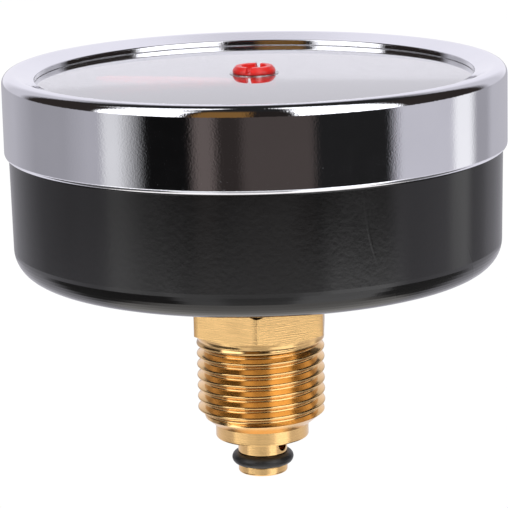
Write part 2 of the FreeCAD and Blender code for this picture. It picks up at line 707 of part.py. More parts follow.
PIECES = [
    valve_body, stem_washer, valve_plunger, plunger_o_ring, return_spring, socket, case_gasket,
    flange_screws, case, bezel, window, window_gasket, dial, dial_posts, dial_screws, stop_pin,
    pointer, pointer_hub, setting_hub, setting_hand, movement_back_plate, movement_front_plate,
    movement_pillars, movement_base_screws, front_plate_screws, pinion, sector_gear, sector_arbor,
    tail_pin, link, tip_pin, hairspring, hairspring_post, hairspring_collet, bourdon_tube,
    tube_end_piece,
]

os.makedirs("parts", exist_ok=True)
for piece in PIECES:
    solid = piece()
    solid.exportStep("parts/" + piece.__name__ + ".step")
    print(piece.__name__, "solids", len(solid.Solids), "valid", solid.isValid(), round(solid.Volume, 2))
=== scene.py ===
"""Dial pressure gauge with a chromed bezel, a black case and a brass shut-off valve."""

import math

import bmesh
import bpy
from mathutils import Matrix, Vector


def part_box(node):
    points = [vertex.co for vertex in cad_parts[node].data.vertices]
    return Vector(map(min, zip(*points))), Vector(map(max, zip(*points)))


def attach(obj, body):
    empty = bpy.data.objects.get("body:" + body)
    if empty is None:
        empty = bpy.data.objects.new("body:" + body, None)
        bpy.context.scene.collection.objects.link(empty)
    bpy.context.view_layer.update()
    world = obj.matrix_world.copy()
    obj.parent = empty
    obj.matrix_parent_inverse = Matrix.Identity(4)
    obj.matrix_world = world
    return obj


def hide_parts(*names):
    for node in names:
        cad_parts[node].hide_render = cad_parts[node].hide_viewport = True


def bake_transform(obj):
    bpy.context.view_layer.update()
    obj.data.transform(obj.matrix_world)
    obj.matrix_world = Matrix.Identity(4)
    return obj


bl_info = {
    "name": "Pressure Gauge",
    "version": (1, 0, 0),
    "blender": (4, 5, 0),
    "location": "View3D > Sidebar > Gauge",
    "description": "Builds a dial pressure gauge and its shut-off valve around the packed design",
    "category": "Add Mesh",
}

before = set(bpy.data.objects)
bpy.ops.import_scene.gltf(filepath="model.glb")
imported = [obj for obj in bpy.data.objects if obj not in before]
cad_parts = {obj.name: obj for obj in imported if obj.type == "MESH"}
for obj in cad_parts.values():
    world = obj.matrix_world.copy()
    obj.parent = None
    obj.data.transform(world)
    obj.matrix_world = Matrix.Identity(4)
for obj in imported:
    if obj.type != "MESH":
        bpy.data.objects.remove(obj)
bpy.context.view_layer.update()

MM = 0.001
SEGMENTS = 144               # round pieces; a multiple of 12, so that hexagon corners fall on it
FINE_SEGMENTS = 216
SMOOTH_ANGLE = math.radians(32)

# Sizes that several pieces share, in mm and degrees.
OPENING_RADIUS = 35.15       # inner edge of the bezel's lip
RIM_Z = 41.85                # height where the lip meets the window
LEDGE_Z = 38.6               # top of the case's lip, which carries the gasket
THREAD_DIAMETER = 20.955     # over the crests
THREAD_START_Z = -1.8        # height of a crest on the left side
HEXAGON_SIZE = 21.0          # across the flats
HEXAGON_ANGLE = -92.5        # direction of the corner next to the front
DIAL_START = 225             # direction of zero
DIAL_SWEEP = 270
SETTING_ANGLE = 163          # direction of the red hand


def low(node):
    """Height of a design node's underside, in mm."""
    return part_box(node)[0].z / MM


def high(node):
    """Height of a design node's top, in mm."""
    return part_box(node)[1].z / MM


def radius_of(node):
    """Outer radius of a round design node about the gauge's axis, in mm."""
    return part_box(node)[1].x / MM


# --- Settings -------------------------------------------------------------------------------

def length(name, description, default):
    return bpy.props.FloatProperty(name=name, description=description, default=default * MM,
                                   min=0.0, precision=5, subtype="DISTANCE", unit="LENGTH")


def colour(name, description, default):
    return bpy.props.FloatVectorProperty(name=name, description=description, default=default,
                                         size=3, min=0.0, max=1.0, subtype="COLOR")


class GaugeSizes(bpy.types.PropertyGroup):
    bezel_wall: length("Bezel wall", "Sheet thickness of the bezel", 0.9)
    bezel_crest: length("Bezel crest radius", "Rounding of the bezel's outer top edge", 1.67)
    bezel_foot: length("Bezel foot radius", "Rounding of the bezel's lower edge", 0.75)
    case_corner: length("Case corner radius", "Rounding between the case's side and back", 4.5)
    thread_pitch: length("Thread pitch", "Distance between the thread's crests", 1.814)
    run_out: length("Thread run-out", "Plain band under the hexagon", 0.3)
    run_in: length("Thread run-in", "Height over which the thread reaches its full depth", 2.6)
    digit_height: length("Digit height", "Size of the numbers on the dial", 5.2)
    scale_end: bpy.props.IntProperty(name="Scale end", description="Highest number on the dial",
                                     default=4, min=1, max=10)


class GaugeColours(bpy.types.PropertyGroup):
    brass: colour("Brass", "Colour of the valve's brass", (0.89, 0.57, 0.24))
    soft_brass: colour("Movement brass", "Colour of the movement's brass", (0.74, 0.55, 0.27))
    bronze: colour("Bronze", "Colour of the tube and the hairspring", (0.70, 0.42, 0.23))
    chrome: colour("Chrome", "Tint of the bezel's plating", (0.84, 0.84, 0.88))
    steel: colour("Steel", "Colour of screws, pins and spring", (0.60, 0.60, 0.61))
    case: colour("Case", "Colour of the moulded case", (0.005, 0.0045, 0.0045))
    window: colour("Window", "Tint of the clear window", (0.985, 0.985, 1.0))
    dial: colour("Dial", "Paint of the dial", (0.86, 0.86, 0.87))
    ink: colour("Ink", "Print on the dial", (0.012, 0.012, 0.014))
    pointer: colour("Pointer", "Paint of the pointer", (0.012, 0.012, 0.012))
    setting: colour("Setting knob", "Colour of the setting knob and its hand", (0.86, 0.030, 0.025))
    rubber: colour("Rubber", "Colour of the O-ring and the gasket", (0.012, 0.012, 0.012))
    fibre: colour("Fibre", "Colour of the sealing washers", (0.13, 0.10, 0.08))


# --- Materials ------------------------------------------------------------------------------

def math_node(tree, operation, *values):
    made = tree.nodes.new("ShaderNodeMath")
    made.operation = operation
    for socket, value in zip(made.inputs, values):
        if isinstance(value, bpy.types.NodeSocket):
            tree.links.new(value, socket)
        else:
            socket.default_value = value
    return made.outputs[0]


def axis_distance(tree, x, y):
    """Distance from the gauge's axis."""
    squares = [math_node(tree, "POWER", value, 2.0) for value in (x, y)]
    return math_node(tree, "SQRT", math_node(tree, "ADD", *squares))


class Finish:
    """A Principled material with short calls for procedural detail in object space."""

    def __init__(self, name, tint, metallic=0.0, roughness=0.4):
        self.material = bpy.data.materials.new(name)
        self.material.use_nodes = True
        self.tree = self.material.node_tree
        self.shader = self.tree.nodes["Principled BSDF"]
        self.shader.inputs["Base Color"].default_value = (*tint, 1.0)
        self.shader.inputs["Metallic"].default_value = metallic
        self.shader.inputs["Roughness"].default_value = roughness
        self.place = self.node("ShaderNodeTexCoord").outputs["Object"]
        self.height = None

    def node(self, kind, **settings):
        made = self.tree.nodes.new(kind)
        for key, value in settings.items():
            setattr(made, key, value)
        return made

    def link(self, start, end):
        self.tree.links.new(start, end)

    def noise(self, scale, stretch=(1, 1, 1), detail=3.0):
        """Noise from 0 to 1 with scale cells per metre; stretch scales each axis."""
        mapping = self.node("ShaderNodeMapping")
        mapping.inputs["Scale"].default_value = stretch
        texture = self.node("ShaderNodeTexNoise")
        texture.inputs["Scale"].default_value = scale
        texture.inputs["Detail"].default_value = detail
        self.link(self.place, mapping.inputs["Vector"])
        self.link(mapping.outputs["Vector"], texture.inputs["Vector"])
        return texture.outputs["Fac"]

    def lines(self, scale):
        """Turning lines: noise that changes only with height and distance from the axis."""
        parts = self.node("ShaderNodeSeparateXYZ")
        self.link(self.place, parts.inputs[0])
        joined = self.node("ShaderNodeCombineXYZ")
        self.link(axis_distance(self.tree, *parts.outputs[:2]), joined.inputs[0])
        self.link(parts.outputs[2], joined.inputs[2])
        texture = self.node("ShaderNodeTexNoise")
        texture.inputs["Scale"].default_value = scale
        texture.inputs["Detail"].default_value = 4.0
        self.link(joined.outputs[0], texture.inputs["Vector"])
        return texture.outputs["Fac"]

    def spread(self, source, low_value, high_value, start=0.3, end=0.7):
        """Maps a texture's useful range to two values."""
        mapped = self.node("ShaderNodeMapRange")
        mapped.inputs["From Min"].default_value = start
        mapped.inputs["From Max"].default_value = end
        mapped.inputs["To Min"].default_value = low_value
        mapped.inputs["To Max"].default_value = high_value
        self.link(source, mapped.inputs["Value"])
        return mapped.outputs["Result"]

    def tone(self, source, first, second, start=0.3, end=0.7):
        """Base colour that runs between two tints along a texture."""
        ramp = self.node("ShaderNodeValToRGB")
        ramp.color_ramp.elements[0].position = start
        ramp.color_ramp.elements[0].color = (*first, 1.0)
        ramp.color_ramp.elements[1].position = end
        ramp.color_ramp.elements[1].color = (*second, 1.0)
        self.link(source, ramp.inputs["Fac"])
        self.link(ramp.outputs["Color"], self.shader.inputs["Base Color"])

    def rough(self, source, low_value, high_value, start=0.3, end=0.7):
        self.link(self.spread(source, low_value, high_value, start, end),
                  self.shader.inputs["Roughness"])

    def bump(self, source, depth):
        """Relief of the given depth in metres; calls stack."""
        made = self.node("ShaderNodeBump")
        made.inputs["Distance"].default_value = depth
        self.link(source, made.inputs["Height"])
        if self.height:
            self.link(self.height, made.inputs["Normal"])
        self.height = made.outputs["Normal"]
        self.link(self.height, self.shader.inputs["Normal"])


def shade(tint, factor):
    return tuple(min(1.0, value * factor) for value in tint)


def chrome_plate(colours):
    """Polished plating over sheet steel, with fine pits and long ripples."""
    finish = Finish("chrome_plate", colours.chrome, metallic=1.0)
    finish.tone(finish.noise(90), shade(colours.chrome, 0.96), colours.chrome)
    finish.rough(finish.noise(420, detail=5.0), 0.02, 0.05)
    finish.bump(finish.noise(3200, detail=2.5), 0.000008)
    finish.bump(finish.noise(110, detail=1.0), 0.00002)
    return finish.material


def turned_brass(colours):
    """Bright brass with turning lines and a little tarnish."""
    finish = Finish("turned_brass", colours.brass, metallic=1.0)
    finish.tone(finish.noise(160, detail=5.0), shade(colours.brass, 0.86), colours.brass, 0.25, 0.6)
    finish.rough(finish.lines(5200), 0.13, 0.22)
    finish.bump(finish.lines(7000), 0.000004)
    finish.bump(finish.noise(700), 0.000004)
    return finish.material


def milled_brass(colours):
    """Brass with straight cutter marks across the hexagon's flats."""
    finish = Finish("milled_brass", colours.brass, metallic=1.0)
    finish.tone(finish.noise(200, detail=5.0), shade(colours.brass, 0.88), colours.brass, 0.25, 0.6)
    finish.rough(finish.noise(260, stretch=(1, 1, 22)), 0.16, 0.26)
    finish.bump(finish.noise(260, stretch=(1, 1, 26)), 0.000006)
    return finish.material


def stamped_metal(name, tint, roughness):
    """Satin sheet or wire of the movement, with rolling grain."""
    finish = Finish(name, tint, metallic=1.0)
    finish.tone(finish.noise(240, detail=4.0), shade(tint, 0.82), tint)
    finish.rough(finish.noise(500, stretch=(1, 9, 1)), roughness - 0.06, roughness + 0.1)
    finish.bump(finish.noise(800, stretch=(1, 9, 1)), 0.000008)
    return finish.material


def case_moulding(colours):
    """Semi-gloss black moulding with faint drag marks and handling haze."""
    finish = Finish("case_moulding", colours.case)
    finish.tone(finish.noise(60, detail=4.0), colours.case, shade(colours.case, 1.25))
    haze = finish.noise(120, stretch=(1, 1, 0.35), detail=6.0)
    finish.rough(haze, 0.11, 0.18)
    finish.bump(finish.noise(1300, detail=2.0), 0.000005)
    scratch = finish.node("ShaderNodeTexWave", wave_type="BANDS", bands_direction="DIAGONAL")
    scratch.inputs["Scale"].default_value = 24
    scratch.inputs["Distortion"].default_value = 9
    scratch.inputs["Detail"].default_value = 1
    finish.link(finish.place, scratch.inputs["Vector"])
    line = finish.spread(scratch.outputs["Fac"], 0, 1, 0.9985, 1.0)
    patch = finish.spread(finish.noise(38, detail=1.0), 0, 1, 0.6, 0.68)
    finish.bump(math_node(finish.tree, "MULTIPLY", line, patch), 0.00001)
    return finish.material


def clear_window(colours):
    """Clear moulded plastic; lamps reach the dial through it."""
    finish = Finish("clear_window", colours.window, roughness=0.03)
    finish.shader.inputs["Transmission Weight"].default_value = 1.0
    finish.shader.inputs["IOR"].default_value = 1.49
    finish.shader.inputs["Coat Weight"].default_value = 1.0
    finish.shader.inputs["Coat IOR"].default_value = 1.6
    finish.shader.inputs["Coat Roughness"].default_value = 0.03
    finish.bump(finish.noise(45, detail=1.0), 0.000012)
    finish.bump(finish.noise(900, detail=2.0), 0.000001)
    clear = finish.node("ShaderNodeBsdfTransparent")
    clear.inputs["Color"].default_value = (0.93, 0.93, 0.94, 1.0)
    mix = finish.node("ShaderNodeMixShader")
    path = finish.node("ShaderNodeLightPath")
    output = finish.tree.nodes["Material Output"]
    finish.link(path.outputs["Is Shadow Ray"], mix.inputs["Fac"])
    finish.link(finish.shader.outputs["BSDF"], mix.inputs[1])
    finish.link(clear.outputs["BSDF"], mix.inputs[2])
    finish.link(mix.outputs["Shader"], output.inputs["Surface"])
    return finish.material


def painted(name, tint, roughness, grain):
    """Sprayed or printed paint with orange peel."""
    finish = Finish(name, tint)
    finish.tone(finish.noise(150, detail=4.0), shade(tint, 0.96), shade(tint, 1.03))
    finish.rough(finish.noise(600), roughness - 0.05, roughness + 0.06)
    finish.bump(finish.noise(grain, detail=2.0), 0.000006)
    return finish.material


def red_plastic(colours):
    """Moulded translucent-looking red plastic."""
    finish = Finish("red_plastic", colours.setting)
    finish.tone(finish.noise(500, detail=3.0), shade(colours.setting, 0.85), colours.setting)
    finish.rough(finish.noise(1200), 0.26, 0.40)
    finish.bump(finish.noise(2600, detail=2.0), 0.000006)
    finish.shader.inputs["Subsurface Weight"].default_value = 0.15
    finish.shader.inputs["Subsurface Scale"].default_value = 0.0006
    return finish.material


def soft_seal(name, tint, roughness, grain, depth):
    """Moulded rubber or pressed fibre."""
    finish = Finish(name, tint)
    finish.tone(finish.noise(700, detail=5.0), shade(tint, 0.7), shade(tint, 1.3))
    finish.rough(finish.noise(900), roughness - 0.06, roughness + 0.1)
    finish.bump(finish.noise(grain, detail=4.0), depth)
    return finish.material


def material_set(colours):
    """Every finish of the gauge, made once and found by name afterwards."""
    return {
        "chrome": chrome_plate(colours),
        "turned_brass": turned_brass(colours),
        "milled_brass": milled_brass(colours),
        "movement_brass": stamped_metal("movement_brass", colours.soft_brass, 0.30),
        "bronze": stamped_metal("spring_bronze", colours.bronze, 0.32),
        "steel": stamped_metal("bright_steel", colours.steel, 0.25),
        "case": case_moulding(colours),
        "window": clear_window(colours),
        "dial": painted("dial_paint", colours.dial, 0.55, 2200),
        "ink": painted("dial_ink", colours.ink, 0.50, 3000),
        "pointer": painted("pointer_paint", colours.pointer, 0.35, 2500),
        "red": red_plastic(colours),
        "rubber": soft_seal("black_rubber", colours.rubber, 0.42, 2600, 0.000008),
        "fibre": soft_seal("pressed_fibre", colours.fibre, 0.75, 1800, 0.00003),
    }


FINISHES = {}


# --- Mesh making ----------------------------------------------------------------------------

def piece(name, mesh_data, finish, body, slot, *nodes):
    """Finishes a mesh as a named piece that rides on a body and stands for design nodes."""
    mesh = bpy.data.meshes.new(name)
    mesh_data.normal_update()
    mesh_data.to_mesh(mesh)
    mesh_data.free()
    for polygon in mesh.polygons:
        polygon.use_smooth = True
    mesh.set_sharp_from_angle(angle=SMOOTH_ANGLE)
    made = bpy.data.objects.new(name, mesh)
    bpy.context.scene.collection.objects.link(made)
    mesh.materials.append(FINISHES[finish])
    if body:
        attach(made, body)
    if nodes:
        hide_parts(*nodes)
    return made


def rounded(corners, steps=6):
    """Closed outline from (x, y, fillet radius) corners, its fillets as arcs."""
    points = []
    for i, (x, y, radius) in enumerate(corners):
        here = Vector((x, y))
        back = (Vector(corners[i - 1][:2]) - here).normalized()
        ahead = (Vector(corners[(i + 1) % len(corners)][:2]) - here).normalized()
        half = back.angle(ahead) / 2
        if radius <= 0 or half > math.radians(89.5):
            points.append(here)
            continue
        centre = here + (back + ahead).normalized() * (radius / math.sin(half))
        first = here + back * (radius / math.tan(half)) - centre
        last = here + ahead * (radius / math.tan(half)) - centre
        turn = first.angle_signed(last)
        for step in range(steps + 1):
            points.append(centre + Matrix.Rotation(-turn * step / steps, 2) @ first)
    return points


def held(outline, closed=True):
    """Adds a point close to both ends of each long run, so that its shading stays straight."""
    margin = 0.04
    points = []
    pairs = list(zip(outline, outline[1:] + outline[:1]))
    for here, following in pairs if closed else pairs[:-1]:
        points.append(here)
        run = following - here
        if run.length > 8 * margin:
            points += [here + run.normalized() * margin, following - run.normalized() * margin]
    return points if closed else points + [outline[-1]]


def rings_mesh(rings, closed=True):
    """Mesh from rings of equally many points, each joined to the next."""
    made = bmesh.new()
    verts = [[made.verts.new(point) for point in ring] for ring in rings]
    count = len(rings[0])
    pairs = list(zip(verts, verts[1:]))
    if closed:
        pairs.append((verts[-1], verts[0]))
    for one, two in pairs:
        for i in range(count):
            j = (i + 1) % count
            made.faces.new((one[i], one[j], two[j], two[i]))
    return made


def tidy(made, distance=0.0000005):
    bmesh.ops.remove_doubles(made, verts=made.verts, dist=distance)
    bmesh.ops.dissolve_degenerate(made, edges=made.edges, dist=distance)
    bmesh.ops.recalc_face_normals(made, faces=made.faces)
    return made


def circle(radius, z, segments=SEGMENTS):
    """Ring of points about the gauge's axis; radius and height in mm."""
    step = 2 * math.pi / segments
    return [Vector((radius * math.cos(step * i), radius * math.sin(step * i), z)) * MM
            for i in range(segments)]


def lathe(corners, segments=SEGMENTS, steps=6):
    """Solid of revolution from (r, z, fillet) corners in mm."""
    outline = held(rounded(corners, steps))
    return tidy(rings_mesh([circle(max(p.x, 0.0), p.y, segments) for p in outline]))


def flat_solid(outline, z0, z1, bevel=0.0):
    """Plate from a closed outline in mm, with its edges broken by a bevel."""
    made = bmesh.new()
    base = made.faces.new([made.verts.new(Vector((x, y, z0)) * MM) for x, y in outline])
    grown = bmesh.ops.extrude_face_region(made, geom=[base])["geom"]
    lifted = [item for item in grown if isinstance(item, bmesh.types.BMVert)]
    bmesh.ops.translate(made, verts=lifted, vec=(0, 0, (z1 - z0) * MM))
    bmesh.ops.recalc_face_normals(made, faces=made.faces)
    if bevel:
        level = [e for e in made.edges if abs(e.verts[0].co.z - e.verts[1].co.z) < MM * 0.001]
        bmesh.ops.bevel(made, geom=level, offset=bevel * MM, segments=2, affect="EDGES",
                        profile=0.5)
    return made


def turn_mesh(made, degrees):
    """Turns a mesh about the gauge's axis."""
    bmesh.ops.rotate(made, verts=made.verts, cent=(0, 0, 0),
                     matrix=Matrix.Rotation(math.radians(degrees), 3, "Z"))
    return made


def join(target, *others):
    """Adds other meshes' faces to the target."""
    for other in others:
        mesh = bpy.data.meshes.new("part")
        other.to_mesh(mesh)
        other.free()
        target.from_mesh(mesh)
        bpy.data.meshes.remove(mesh)
    return target


def carve(made, *cutters):
    """Cuts solids out of a mesh with exact booleans."""
    subject = bpy.data.objects.new("subject", bpy.data.meshes.new("subject"))
    made.to_mesh(subject.data)
    made.free()
    tools = []
    scene = bpy.context.scene
    scene.collection.objects.link(subject)
    for cutter in cutters:
        tool = bpy.data.objects.new("tool", bpy.data.meshes.new("tool"))
        cutter.to_mesh(tool.data)
        cutter.free()
        scene.collection.objects.link(tool)
        modifier = subject.modifiers.new("cut", "BOOLEAN")
        modifier.operation = "DIFFERENCE"
        modifier.solver = "EXACT"
        modifier.object = tool
        tools.append(tool)
    bpy.context.view_layer.update()
    result = bmesh.new()
    result.from_object(subject, bpy.context.evaluated_depsgraph_get())
    for item in [subject] + tools:
        mesh = item.data
        bpy.data.objects.remove(item)
        bpy.data.meshes.remove(mesh)
    return result


def block(x_size, y_size, z0, z1):
    """Plain box centred on the axis, as a cutter; sizes in mm."""
    x, y = x_size / 2, y_size / 2
    return flat_solid([(-x, -y), (x, -y), (x, y), (-x, y)], z0, z1)


def rod(radius, start, end, segments=48):
    """Round bar between two points in mm, as a cutter."""
    axis = Vector(end) - Vector(start)
    height = axis.length
    made = lathe([(0, 0, 0), (radius, 0, 0), (radius, height, 0), (0, height, 0)], segments)
    turn = axis.to_track_quat("Z", "Y").to_matrix().to_4x4()
    made.transform(Matrix.Translation(Vector(start) * MM) @ turn)
    return made


def carry(finish, *nodes):
    """Gives design nodes that keep their own mesh a finish."""
    for name in nodes:
        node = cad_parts[name]
        node.data.materials.clear()
        node.data.materials.append(FINISHES[finish])


# --- Pieces ---------------------------------------------------------------------------------

class GAUGE_OT_finishes(bpy.types.Operator):
    """Make every finish and put it on the inner pieces that keep the design's own mesh"""
    bl_idname = "gauge.finishes"
    bl_label = "Finishes and inner pieces"

    def execute(self, context):
        FINISHES.update(material_set(context.scene.gauge_colours))
        carry("movement_brass", "movement_back_plate", "movement_front_plate", "movement_pillars",
              "dial_posts", "stop_pin", "hairspring_post", "hairspring_collet", "tube_end_piece",
              "sector_gear", "link", "pinion")
        carry("steel", "movement_base_screws", "front_plate_screws", "dial_screws", "flange_screws",
              "sector_arbor", "tail_pin", "tip_pin")
        carry("bronze", "hairspring")
        carry("turned_brass", "socket")
        carry("fibre", "case_gasket")
        return {"FINISHED"}


class GAUGE_OT_bezel(bpy.types.Operator):
    """Drawn bezel ring: straight skirt, rounded crest and a top that slopes in to the window"""
    bl_idname = "gauge.bezel"
    bl_label = "Bezel"

    def execute(self, context):
        sizes = context.scene.gauge_sizes
        wall = sizes.bezel_wall / MM
        outer = radius_of("bezel")
        bottom, top = low("bezel"), high("bezel")
        inner, lip_z = OPENING_RADIUS, RIM_Z
        slope = 0.326
        crest = sizes.bezel_crest / MM
        lean = math.atan(slope)
        corner_z = top - crest + crest / math.cos(lean) + crest * slope
        edge_z = corner_z - (outer - inner) * slope
        under = outer - wall
        mesh = lathe([
            (39.32, bottom, 0.1), (outer, bottom, sizes.bezel_foot / MM), (outer, corner_z, crest),
            (inner, edge_z, 0.25), (inner, lip_z, 0.1), (inner + wall, lip_z, 0.1),
            (inner + wall, edge_z - wall + 0.3, 0), (outer - crest, corner_z - 1.5, 0.5),
            (under, corner_z - 2.4, 0.3), (under, LEDGE_Z, 0), (39.32, LEDGE_Z, 0),
        ], FINE_SEGMENTS, steps=10)
        piece("bezel_ring", mesh, "chrome", "gauge", "bezel_chrome", "bezel")
        return {"FINISHED"}


class GAUGE_OT_case(bpy.types.Operator):
    """Moulded cup with a drafted side, a large back corner and a lip that the bezel grips"""
    bl_idname = "gauge.case"
    bl_label = "Case"

    def execute(self, context):
        corner = context.scene.gauge_sizes.case_corner / MM
        outer = radius_of("case")
        back, lip_top = low("case"), high("case")
        foot = low("bezel")
        mesh = lathe([
            (8.0, back, 0.4), (outer - 0.24, back, corner), (outer, foot - 0.02, 0.12),
            (39.3, foot - 0.02, 0), (39.3, lip_top, 0.2), (37.4, lip_top, 0.2), (37.4, 13.4, 2.5),
            (15.0, 13.4, 0.2), (15.0, 14.2, 0.2), (8.0, 14.2, 0.1),
        ], FINE_SEGMENTS, steps=12)
        piece("case_cup", mesh, "case", "gauge", "case_plastic", "case")
        return {"FINISHED"}


class GAUGE_OT_window(bpy.types.Operator):
    """Clear domed window with a hole for the setting knob, and the gasket under its rim"""
    bl_idname = "gauge.window"
    bl_label = "Window and gasket"

    def execute(self, context):
        outer = radius_of("window")
        seat, crown = low("window"), high("window")
        rim, under, hole, face = RIM_Z, seat + 0.4, 2.2, OPENING_RADIUS
        bands = 12
        corners = [(hole, under, 0.05), (36.3, under, 0.1), (36.7, seat, 0.05), (outer, seat, 0.15),
                   (outer, rim - 0.02, 0.15)]
        for i in range(bands + 1):
            r = face + (hole - face) * i / bands
            corners.append((r, crown - 0.02 - (crown - rim) * (r / face) ** 2, 0))
        mesh = lathe(corners, FINE_SEGMENTS)
        piece("window_disc", mesh, "window", "gauge", "window_clear", "window")
        inside, outside, foot, head = 36.9, 39.1, LEDGE_Z + 0.02, seat - 0.02
        ring = lathe([(inside, foot, 0.2), (outside, foot, 0.2), (outside, head, 0.2),
                      (inside, head, 0.2)], FINE_SEGMENTS, steps=3)
        piece("window_seal", ring, "rubber", "gauge", "black_rubber", "window_gasket")
        return {"FINISHED"}


def dial_angle(value, scale_end):
    """Direction of a value on the dial; the scale runs clockwise over three quarters of a turn."""
    return math.radians(DIAL_START - DIAL_SWEEP * value / scale_end)


def text_mesh(text, size, x, y, z):
    """Flat raised lettering, centred on a point; sizes in mm."""
    curve = bpy.data.curves.new("lettering", "FONT")
    curve.body = text
    curve.size = size * MM
    curve.align_x = "CENTER"
    curve.align_y = "CENTER"
    curve.extrude = 0.01 * MM
    curve.resolution_u = 4
    holder = bpy.data.objects.new("lettering", curve)
    mesh = bpy.data.meshes.new_from_object(holder)
    made = bmesh.new()
    made.from_mesh(mesh)
    bmesh.ops.translate(made, verts=made.verts, vec=Vector((x, y, z)) * MM)
    bpy.data.objects.remove(holder)
    bpy.data.meshes.remove(mesh)
    return made


class GAUGE_OT_dial(bpy.types.Operator):
    """Painted dial with its printed scale, numbers and unit"""
    bl_idname = "gauge.dial"
    bl_label = "Dial"

    def execute(self, context):
        sizes = context.scene.gauge_sizes
        outer = radius_of("dial")
        bottom, top = low("dial"), high("dial")
        hole = 1.5
        disc = lathe([(hole, bottom, 0.1), (outer, bottom, 0.1), (outer, top, 0.12),
                      (hole, top, 0.12)], FINE_SEGMENTS, steps=3)
        piece("dial_plate", disc, "dial", "gauge", "dial_white", "dial")
        ink_z = top + 0.012
        scale = lathe([(32.6, top, 0), (32.85, top, 0), (32.85, ink_z, 0), (32.6, ink_z, 0)],
                      FINE_SEGMENTS)
        gap = [v for v in scale.verts
               if v.co.y < 0 and abs(math.atan2(v.co.x, -v.co.y)) < math.radians(44.5)]
        bmesh.ops.delete(scale, geom=gap, context="VERTS")
        bmesh.ops.holes_fill(scale, edges=[e for e in scale.edges if e.is_boundary])
        steps = sizes.scale_end * 10
        for i in range(steps + 1):
            inside, width = 31.0, 0.25
            if i % 5 == 0:
                inside, width = 30.0, 0.35
            if i % 10 == 0:
                inside, width = 28.6, 0.6
            mark = flat_solid([(inside, -width / 2), (32.7, -width / 2), (32.7, width / 2),
                               (inside, width / 2)], top, ink_z)
            join(scale, turn_mesh(mark, math.degrees(dial_angle(i / 10, sizes.scale_end))))
        piece("dial_scale", scale, "ink", "gauge", None)
        size = sizes.digit_height / MM
        numbers = bmesh.new()
        for value in range(sizes.scale_end + 1):
            angle = dial_angle(value, sizes.scale_end)
            x, y = 24.6 * math.cos(angle), 24.6 * math.sin(angle)
            join(numbers, text_mesh(str(value), size, x, y, top + 0.01))
        join(numbers, text_mesh("bar", size * 0.85, 0, -17.5, top + 0.01))
        piece("dial_numbers", numbers, "ink", "gauge", None)
        return {"FINISHED"}


class GAUGE_OT_pointer(bpy.types.Operator):
    """Painted pointer with a weighted tail, pressed on its hub"""
    bl_idname = "gauge.pointer"
    bl_label = "Pointer"

    def execute(self, context):
        bottom, top = low("pointer"), high("pointer")
        outline = rounded([
            (-9, -1.5, 0.7), (-5.5, -1.5, 1.5), (-3, -0.9, 1.5), (-1.9, -1.5, 1.2), (0, -2.3, 1.8),
            (1.9, -1.25, 1.5), (27, -0.3, 0), (28, 0, 0.05), (27, 0.3, 0), (1.9, 1.25, 1.5),
            (0, 2.3, 1.8), (-1.9, 1.5, 1.2), (-3, 0.9, 1.5), (-5.5, 1.5, 1.5), (-9, 1.5, 0.7),
        ], 4)
        blade = flat_solid([(p.x, p.y) for p in outline], bottom, top, bevel=0.06)
        piece("pointer_blade", turn_mesh(blade, DIAL_START), "pointer", "pointer",
              "pointer_black", "pointer")
        hub_low, hub_top = low("pointer_hub"), high("pointer_hub")
        hub = lathe([(0, hub_low, 0), (2.3, hub_low, 0.1), (2.3, bottom, 0.1), (1.9, bottom, 0),
                     (1.9, hub_top - 0.1, 0.5), (0.5, hub_top, 0.3), (0, hub_top, 0)], 96)
        piece("pointer_boss", hub, "pointer", "pointer", "pointer_black", "pointer_hub")
        return {"FINISHED"}


class GAUGE_OT_setting_knob(bpy.types.Operator):
    """Slotted red knob on the window and the red hand that it turns under the window"""
    bl_idname = "gauge.setting_knob"
    bl_label = "Setting knob and hand"

    def execute(self, context):
        top = high("setting_hub")
        seat = high("window") + 0.02
        shoulder = high("setting_hand")
        stem_end = low("setting_hub")
        body = lathe([
            (0, stem_end, 0), (1.6, stem_end, 0.1), (1.6, shoulder, 0), (2.1, shoulder, 0),
            (2.1, seat + 0.07, 0), (3.4, seat + 0.07, 0.12), (3.5, seat + 0.5, 0.6),
            (2.95, top, 0.28), (2.0, top, 0.2), (2.0, top - 0.8, 0.15), (0, top - 0.8, 0),
        ], 96)
        slot = turn_mesh(block(9, 0.85, top - 0.95, top + 1), SETTING_ANGLE + 90)
        piece("setting_knob", carve(body, slot), "red", "setting", "setting_red", "setting_hub")
        inside, outside, foot, head = 2.15, 3.95, seat - 0.015, seat + 0.05
        washer = lathe([(inside, foot, 0), (outside, foot, 0.02), (outside, head, 0.02),
                        (inside, head, 0)], 96, steps=3)
        piece("knob_washer", washer, "steel", "setting", "screw_steel")
        bottom = low("setting_hand")
        outline = rounded([(0, -1.6, 0), (24.5, -0.8, 0.6), (27, 0, 0.1), (24.5, 0.8, 0.6),
                           (0, 1.6, 0)], 4)
        blade = flat_solid([(p.x, p.y) for p in outline], bottom, bottom + 0.5, bevel=0.08)
        boss = lathe([(1.6, bottom, 0.05), (3.4, bottom, 0.1), (3.4, shoulder, 0.15),
                      (1.6, shoulder, 0.05)], 96)
        blade = carve(blade, rod(1.65, (0, 0, bottom - 1), (0, 0, shoulder + 1)))
        hand = turn_mesh(join(blade, boss), SETTING_ANGLE)
        piece("setting_needle", hand, "red", "setting", "setting_red", "setting_hand")
        return {"FINISHED"}


# --- Valve ----------------------------------------------------------------------------------

